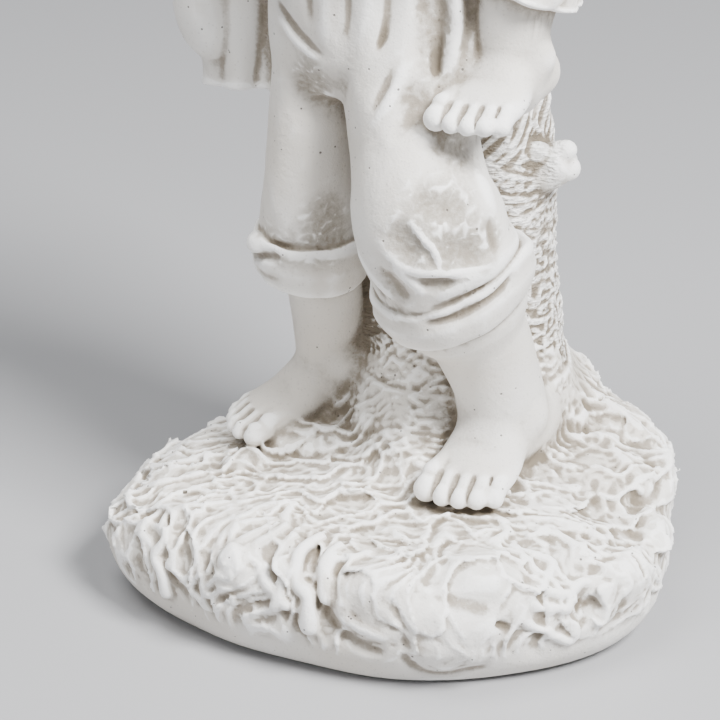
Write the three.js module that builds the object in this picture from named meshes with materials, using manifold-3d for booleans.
// A cast-stone garden statue of two barefoot children. The bigger one stands in rolled trousers and carries the
// smaller one on its back, and a tree stump behind them takes the small one's weight. All of it is one casting on a
// low grassy mound. Millimetres, +Z up; the origin is on the flat underside and the mound's broad side faces -Y.
import * as THREE from "three";
import { mergeVertices } from "three/addons/utils/BufferGeometryUtils.js";
import Module from "manifold-3d";

const wasm = await Module();
wasm.setup();

// ---- driving dimensions
const GROUND = 45; // height of the grass under the standing child's toes
const RIDER_SOLE = 184; // height of the rider's hanging foot
const FACING = THREE.MathUtils.degToRad(33); // both children face this far to the left of straight ahead
const AXIS = [-12, 32]; // where the standing child's spine stands on the mound
const SMALLER = 0.88; // the rider's head against the standing child's
const BOY_HEAD = [-4, 15, 337]; // centres of the heads: sideways, forwards, up
const RIDER_HEAD = [38, -16, 352];

// Joints of the legs, as x, y, z.
const JOINT = {
  hipRight: [-28, 40, 194],
  kneeRight: [-30, 37, 136],
  ankleRight: [-23, 46, 64],
  hipLeft: [0, 22, 194],
  kneeLeft: [14, -10, 145],
  ankleLeft: [38, 6, 71],
  riderKneeLeft: [47, 12, 256],
  riderAnkleLeft: [40, 9, 199],
  riderKneeRight: [-53, 73, 254],
};

// ---- geometry helpers
const V = (x = 0, y = 0, z = 0) => new THREE.Vector3(x, y, z);
const add = (p, q) => p.map((c, i) => c + q[i]);
const mix = (p, q, t) => p.map((c, i) => c + (q[i] - c) * t);
const hill = (distance, width) => Math.exp(-((distance / width) ** 2));

// A point of the children given sideways (to their own left), forwards and up.
function body(side, forward, up, origin = [...AXIS, 0]) {
  const [c, s] = [Math.cos(FACING), Math.sin(FACING)];
  return add(origin, [side * c - forward * s, -side * s - forward * c, up]);
}
const FRONT = V(...body(0, 1, 0, [0, 0, 0]));

// Catmull-Rom interpolation of a list of numbers, at t from 0 to 1.
function along(values, t) {
  const last = values.length - 1;
  const i = Math.min(last - 1, Math.floor(t * last));
  const f = t * last - i;
  const [a, b, c, d] = [i - 1, i, i + 1, i + 2].map((k) => values[Math.max(0, Math.min(last, k))]);
  return b + 0.5 * f * (c - a + f * (2 * a - 5 * b + 4 * c - d + f * (3 * (b - c) + d - a)));
}

// A closed skin over rings of points that all have the same count, with a point at either end.
function skin(first, rings, last) {
  const n = rings[0].length;
  const points = [first, ...rings.flat(), last];
  const index = [];
  const top = points.length - 1;
  for (let j = 0; j < n; j++) {
    const k = (j + 1) % n;
    index.push(0, 1 + k, 1 + j);
    index.push(top, top - n + j, top - n + k);
    for (let i = 0; i + 1 < rings.length; i++) {
      const [a, b] = [1 + i * n + j, 1 + i * n + k];
      index.push(a, b, b + n, a, b + n, a + n);
    }
  }
  return new THREE.BufferGeometry().setFromPoints(points).setIndex(index);
}

// A limb: oval sections carried along a smooth path through the stations [x, y, z, half-width, half-depth], closed by
// rounded ends. ref is the way a section's depth points, and swell(angle, t) is added to its radius.
function limb(stations, { sides = 9, rows = 5, ref = FRONT, swell = () => 0, cap = 1 } = {}) {
  const path = new THREE.CatmullRomCurve3(stations.map((s) => V(s[0], s[1], s[2])));
  const wide = stations.map((s) => s[3]);
  const deep = stations.map((s) => s[4] ?? s[3]);
  const ring = (t, shrink, shift) => {
    const tangent = path.getTangent(t);
    const side = V().crossVectors(ref, tangent).normalize();
    const fore = V().crossVectors(tangent, side);
    const centre = path.getPoint(t).addScaledVector(tangent, shift);
    return Array.from({ length: sides }, (_, j) => {
      const angle = (2 * Math.PI * j) / sides;
      const more = swell(angle, t);
      return centre
        .clone()
        .addScaledVector(side, shrink * (along(wide, t) + more) * Math.cos(angle))
        .addScaledVector(fore, shrink * (along(deep, t) + more) * Math.sin(angle));
    });
  };
  const end = (t) => cap * Math.min(along(wide, t), along(deep, t));
  const rings = [ring(0, 0.75, -0.66 * end(0))];
  for (let i = 0; i <= rows; i++) rings.push(ring(i / rows, 1, 0));
  rings.push(ring(1, 0.75, 0.66 * end(1)));
  const tip = (t, way) => path.getPoint(t).addScaledVector(path.getTangent(t), way * end(t));
  return skin(tip(0, -1), rings, tip(1, 1));
}

// An ellipsoid turned the way the children face; swell(side, forward, up) on the unit sphere scales its radius.
function blob(centre, [rx, ry, rz], { sides = 10, rows = 7, swell = () => 0 } = {}) {
  const g = new THREE.SphereGeometry(1, sides, rows).rotateX(Math.PI / 2);
  const p = g.getAttribute("position");
  for (let i = 0; i < p.count; i++) {
    const v = V().fromBufferAttribute(p, i);
    v.multiplyScalar(1 + swell(v.x, -v.y, v.z));
    p.setXYZ(i, v.x, v.y, v.z);
  }
  return g.scale(rx, ry, rz).rotateZ(-FACING).translate(...centre);
}

function solid(geometry) {
  const bare = geometry.clone();
  bare.deleteAttribute("normal");
  bare.deleteAttribute("uv");
  const merged = mergeVertices(bare, 1e-3);
  const mesh = new wasm.Mesh({
    numProp: 3,
    vertProperties: new Float32Array(merged.getAttribute("position").array),
    triVerts: new Uint32Array(merged.index.array),
  });
  return new wasm.Manifold(mesh);
}

// ---- the mound
// Half-widths of the mound every 30 degrees, counted from +X towards +Y.
const MOUND_PLAN = [100, 108, 90, 79, 90, 98, 102, 84, 73, 76, 84, 98];
// Its side, as [share of the plan's radius, height].
const MOUND_SIDE = [[0.86, 0], [0.95, 6], [1, 17], [0.99, 28], [0.93, 36]];
const MOUND_TOP = [0.8, 0.52, 0.26];
const MOUND_SIDES = 36;

function moundRadius(angle) {
  const n = MOUND_PLAN.length;
  const place = ((angle / (2 * Math.PI) + 1) % 1) * n;
  const i = Math.floor(place);
  return along([i - 1, i, i + 1, i + 2].map((k) => MOUND_PLAN[(k + n) % n]), (1 + place - i) / 3);
}

// The grass rises to the stump's foot, falls a little towards the rim and lies in low tufts.
function groundAt(x, y) {
  const rise = 11 * hill(Math.hypot(x - 28, y - 44), 42);
  const tufts = 1.3 * Math.sin(x / 9 + 0.4 * Math.sin(y / 11)) * Math.sin(y / 10);
  return GROUND + rise - 7 * (Math.hypot(x, y) / 95) ** 3 + tufts;
}

function mound() {
  const ring = (share, height) =>
    Array.from({ length: MOUND_SIDES }, (_, j) => {
      const angle = (2 * Math.PI * j) / MOUND_SIDES;
      const tuft = 1 + 0.02 * Math.sin(10 * angle + share * 5) * Math.sin(3 * angle);
      const r = moundRadius(angle) * share * tuft;
      const [x, y] = [r * Math.cos(angle), r * Math.sin(angle)];
      return V(x, y, height ?? groundAt(x, y));
    });
  const side = MOUND_SIDE.map(([share, height]) => ring(share, height));
  const top = MOUND_TOP.map((share) => ring(share));
  return skin(V(0, 0, 0), [...side, ...top], V(0, 0, groundAt(0, 0)));
}

// ---- the stump
const STUMP = [
  [25, 42, 38, 58, 50],
  [25, 44, 52, 45, 39],
  [25, 46, 78, 37, 32],
  [26, 47, 112, 33, 29],
  [26, 50, 148, 30, 27],
  [23, 55, 184, 28, 26],
  [16, 64, 228, 28, 26],
];

function stump() {
  const bark = (angle, t) => 1.4 * Math.sin(5 * angle + 6 * t) * (1 + hill(t, 0.3));
  const trunk = limb(STUMP, { sides: 18, rows: 8, ref: V(0, -1, 0), swell: bark, cap: 0.2 });
  const branch = limb([[50, 40, 142, 10, 11], [59, 35, 150, 5.5, 6.5]], { sides: 7, rows: 2, cap: 0.5 });
  const roots = [
    [[44, 42, 57, 18, 22], [70, 42, 43, 14, 22], [96, 40, 31, 10, 15]],
    [[44, 58, 60, 18, 18], [64, 66, 43, 12, 16], [80, 68, 32, 7, 10]],
    [[12, 36, 74, 20, 17], [5, 19, 52, 22, 14], [0, -2, 38, 17, 9]],
  ];
  return [trunk, branch, ...roots.map((stations) => limb(stations, { sides: 8, rows: 3 }))];
}

// ---- bare feet
const FOOT = { length: 52, width: 29, ankleBehindMiddle: 15 };
// Each toe from the big one: [towards the inner side, root, tip, radius].
const TOES = [[11, 40, 49, 4.3], [3.6, 42, 51, 3.3], [-2.4, 41, 49.5, 3.1], [-8, 39, 46.5, 2.9], [-12.6, 36, 42.5, 2.7]];

// A foot on its sole. heading is how far it turns to the left of straight ahead, and inner is +1 where the big toe is
// on the +X side and -1 where it is on the other.
function foot({ ankle, sole, heading, length, width, inner }) {
  const a = THREE.MathUtils.degToRad(heading);
  const [k, w] = [length / FOOT.length, width / FOOT.width];
  const at = (ahead, across, up) => {
    const u = (ahead - FOOT.ankleBehindMiddle) * k;
    const v = across * w * inner;
    return [
      ankle[0] - u * Math.sin(a) + v * Math.cos(a),
      ankle[1] - u * Math.cos(a) - v * Math.sin(a),
      sole + up * k,
    ];
  };
  const up = V(0, 0, 1);
  const shell = [
    [...at(7, 0, 8), 8.5 * w, 8 * k],
    [...at(16, 0, 10), 10.5 * w, 10.5 * k],
    [...at(26, 0, 9), 11.5 * w, 9 * k],
    [...at(36, 0, 6.5), 14 * w, 6.3 * k],
    [...at(41, 0, 5), 13.5 * w, 4.6 * k],
  ];
  const toe = ([across, root, tip, r]) => {
    const radius = r * w;
    return [[...at(root - 2, across, 5.6), radius], [...at(tip - r, across, 3.8), radius]];
  };
  return [
    limb(shell, { sides: 8, rows: 4, ref: up, cap: 0.5 }),
    ...TOES.map((row) => limb(toe(row), { sides: 5, rows: 1, ref: up, cap: 0.9 })),
  ];
}

// ---- the standing child, up to the waist
function bareLegs() {
  const { kneeRight, ankleRight, kneeLeft, ankleLeft } = JOINT;
  const shin = (knee, ankle, radii) =>
    limb([
      [...mix(knee, ankle, 0.3), radii[0]],
      [...mix(knee, ankle, 0.65), radii[1]],
      [...ankle, radii[2]],
      [...add(ankle, [0, 0, -9]), radii[2] - 0.5],
    ]);
  return [
    shin(kneeRight, ankleRight, [14, 13, 11.5]),
    shin(kneeLeft, ankleLeft, [17, 16, 13.5]),
    ...foot({ ankle: ankleRight, sole: GROUND + 1, heading: 61, length: 52, width: 27, inner: 1 }),
    ...foot({ ankle: ankleLeft, sole: GROUND + 2, heading: 25, length: 55, width: 32, inner: -1 }),
  ];
}

// A turned-up cuff: a thick band around the shin, with its axis along up.
function cuff(centre, up, radius, height, thick) {
  const band = [[-1.2, -0.5], [-0.3, -0.62], [0.5, -0.5], [1, -0.1], [0.8, 0.3], [0.2, 0.58], [-0.4, 0.5]];
  const profile = [
    new THREE.Vector2(0, -0.3 * height),
    ...band.map(([out, z]) => new THREE.Vector2(radius + thick * out, height * z)),
    new THREE.Vector2(0, 0.3 * height),
  ];
  const turn = new THREE.Quaternion().setFromUnitVectors(V(0, 0, 1), V(...up).normalize());
  return new THREE.LatheGeometry(profile, 16).rotateX(Math.PI / 2).applyQuaternion(turn).translate(...centre);
}

function trousers() {
  const { hipRight, kneeRight, hipLeft, kneeLeft, ankleRight, ankleLeft } = JOINT;
  const fold = (angle, t) => 1.1 * Math.sin(3 * angle + 5 * t) * t;
  const seat = [
    [...body(0, 0, 238), 31, 26],
    [...body(0, 0, 216), 33, 27],
    [...body(0, -1, 198), 34, 27],
    [...body(1, -1, 186), 29, 23],
  ];
  const right = [
    [...add(hipRight, [4, -2, 12]), 17, 20],
    [...mix(hipRight, kneeRight, 0.5), 17.5, 20],
    [...kneeRight, 19, 20],
    [...mix(kneeRight, ankleRight, 0.24), 21, 20.5],
  ];
  const left = [
    [...add(hipLeft, [-2, 3, 12]), 21, 21],
    [...mix(hipLeft, kneeLeft, 0.5), 23, 22],
    [...kneeLeft, 25, 24],
    [...mix(kneeLeft, ankleLeft, 0.36), 24, 24],
  ];
  return [
    limb(seat, { sides: 14, rows: 3, cap: 0.35 }),
    limb(right, { sides: 12, rows: 5, swell: fold }),
    limb(left, { sides: 13, rows: 6, swell: fold }),
    cuff(mix(kneeRight, ankleRight, 0.33), [-0.06, -0.08, 1], 19.5, 17, 3.6),
    cuff(mix(kneeLeft, ankleLeft, 0.42), [-0.34, -0.12, 1], 25, 14, 3.8),
  ];
}

// ---- the standing child above the waist
function shirt() {
  const pleat = (angle, t) => 1.2 * Math.sin(5 * angle) * (1 - t) ** 2;
  const chest = [
    [...body(0, 0, 236), 35, 29],
    [...body(0, 2, 250), 31, 26],
    [...body(0, 4, 270), 31, 26],
    [...body(0, 6, 287), 33, 23],
    [...body(0, 9, 300), 23, 16],
    [...body(-2, 12, 316), 12, 12],
  ];
  const sleeve = (way) => [
    [...body(way * 28, 5, 290), 13.5],
    [...body(way * 40, 3, 275), 14.5],
    [...body(way * 43, 5, 255), 14],
  ];
  const forearm = (way) => [
    [...body(way * 42, 8, 251), 10.5],
    [...body(way * 32, 26, 257), 9.5],
    [...body(way * 18, 35, 267), 7.5],
    [...body(way * 8, 37, 273), 8],
  ];
  return [
    limb(chest, { sides: 14, rows: 6, swell: pleat, cap: 0.15 }),
    ...[-1, 1].flatMap((way) => [
      limb(sleeve(way), { sides: 9, rows: 3, cap: 0.8 }),
      limb(forearm(way), { sides: 7, rows: 4 }),
    ]),
  ];
}

// ---- heads
const HAIR_LOBES = 6;
// Where the cheeks, the chin and the nape lie on a unit sphere: sideways, forwards, up.
const CHEEK = V(0.52, 0.72, -0.36);
const CHIN = V(0, 0.62, -0.78);
const NAPE = V(0, -0.7, -0.7);

function head(centre, scale, nape) {
  const at = (side, forward, up) => body(side * scale, forward * scale, up * scale, centre);
  const size = (...radii) => radii.map((r) => r * scale);
  const flesh = (side, forward, up) =>
    0.08 * hill(CHEEK.distanceTo(V(Math.abs(side), forward, up)), 0.35) +
    0.12 * hill(CHIN.distanceTo(V(side, forward, up)), 0.3);
  const curls = (side, forward, up) => {
    const lobes = 0.05 * Math.sin(HAIR_LOBES * Math.atan2(side, forward) + 5 * up);
    return lobes * Math.sqrt(1 - Math.min(1, up * up)) + nape * hill(NAPE.distanceTo(V(side, forward, up)), 0.6);
  };
  const nose = [[...at(0, 30, 1), 2.4 * scale], [...at(0, 33.5, -9), 4.4 * scale]];
  const mouth = [
    [...at(-6, 28, -18), 1.6 * scale],
    [...at(0, 30.5, -17.5), 2.8 * scale],
    [...at(6, 28, -18), 1.6 * scale],
  ];
  const forelock = (side) => [
    [...at(side * 0.5, 13, 31), 9 * scale, 5 * scale],
    [...at(side, 24, 23), 8 * scale, 4 * scale],
    [...at(side * 1.3, 28 - Math.abs(side) * 0.3, 15), 4 * scale, 2.5 * scale],
  ];
  return [
    blob(at(0, 6, -4), size(27, 26, 30), { sides: 16, rows: 10, swell: flesh }),
    blob(at(0, -7, 8), size(34, 33, 31), { sides: 18, rows: 10, swell: curls }),
    ...[-1, 1].map((way) => blob(at(way * 27.5, 2, -6), size(3.5, 6, 8), { sides: 6, rows: 4 })),
    limb(nose, { sides: 6, rows: 1 }),
    limb(mouth, { sides: 5, rows: 2, ref: V(0, 0, 1) }),
    ...[-15, 0, 15].map((side) => limb(forelock(side), { sides: 5, rows: 2 })),
  ];
}

// ---- the rider
function rider() {
  const { riderKneeLeft, riderAnkleLeft, riderKneeRight } = JOINT;
  const hem = (angle, t) => 2.6 * Math.sin(4 * angle + 0.6) * t * t;
  const pleat = (angle, t) => 2.2 * Math.sin(6 * angle) * (1 - t) ** 3;
  const smock = [
    [...body(2, -48, 214), 41, 32],
    [...body(2, -46, 238), 35, 27],
    [...body(4, -44, 262), 26, 21],
    [...body(8, -40, 284), 27, 20],
    [...body(14, -34, 306), 25, 15],
    [...body(21, -28, 319), 11, 10],
    [...body(27, -23, 334), 9, 9],
  ];
  // each thigh with the cloth that hangs from it
  const lapLeft = [
    [...body(12, -46, 242), 17, 24],
    [...body(38, -32, 248), 16, 24],
    [...body(55, -15, 246), 14, 23],
  ];
  const lapRight = [
    [...body(-8, -46, 240), 18, 27],
    [...body(-34, -34, 238), 18, 32],
    [...body(-52, -18, 232), 15, 34],
  ];
  const sleeveLeft = [
    [...add(riderKneeLeft, [0, 0, -4]), 17, 18],
    [...add(riderKneeLeft, [-1, -2, -20]), 18],
    [...mix(riderKneeLeft, riderAnkleLeft, 0.6), 20],
  ];
  const panel = [
    [...add(riderKneeRight, [1, -3, 8]), 14, 17],
    [...add(riderKneeRight, [1, -7, -18]), 20, 20],
    [...add(riderKneeRight, [2, -10, -48]), 25, 19],
    [...add(riderKneeRight, [4, -12, -74]), 28, 19],
  ];
  const shin = [
    [...mix(riderKneeLeft, riderAnkleLeft, 0.4), 15.5],
    [...riderAnkleLeft, 13],
    [...add(riderAnkleLeft, [0, 0, -7]), 11, 12],
  ];
  const arms = [
    [[35, -30, 305, 13.5], [43, -6, 300, 12], [31, 19, 293, 9], [14, 33, 287, 7.5], [3, 37, 284, 7]],
    [[-6, -35, 305, 13.5], [-31, -8, 304, 12], [-26, 17, 297, 9], [-12, 32, 289, 7.5], [-2, 37, 285, 7]],
  ].map((arm) => arm.map(([side, forward, up, r]) => [...body(side, forward, up), r]));
  const up = V(0, 0, 1);
  return [
    limb(smock, { sides: 16, rows: 6, swell: pleat, cap: 0.15 }),
    limb(lapLeft, { sides: 9, rows: 3, ref: up }),
    limb(lapRight, { sides: 10, rows: 2, ref: up, cap: 0.9 }),
    limb(sleeveLeft, { sides: 10, rows: 2, cap: 0.2 }),
    limb(panel, { sides: 14, rows: 3, ref: V(0, -1, 0), swell: hem, cap: 0.12 }),
    limb(shin, { rows: 3 }),
    ...foot({ ankle: riderAnkleLeft, sole: RIDER_SOLE, heading: 35, length: 49, width: 26, inner: -1 }),
    ...arms.map((arm) => limb(arm, { sides: 7, rows: 5 })),
  ];
}

// ---- one casting
const forms = [
  mound(),
  ...stump(),
  ...bareLegs(),
  ...trousers(),
  ...shirt(),
  ...rider(),
  ...head(body(...BOY_HEAD), 1, 0.12),
  ...head(body(...RIDER_HEAD), SMALLER, 0.3),
];
const cast = wasm.Manifold.union(forms.map(solid)).getMesh();
const geometry = new THREE.BufferGeometry()
  .setAttribute("position", new THREE.BufferAttribute(cast.vertProperties, cast.numProp))
  .setIndex(new THREE.BufferAttribute(cast.triVerts, 1));
geometry.computeVertexNormals();

const castStone = new THREE.MeshStandardMaterial({ color: 0xd9d3c8, roughness: 0.85, metalness: 0 });
const statue = new THREE.Mesh(geometry, castStone);
statue.name = "children_on_mound_casting";
const group = new THREE.Group();
group.add(statue);
export default group;
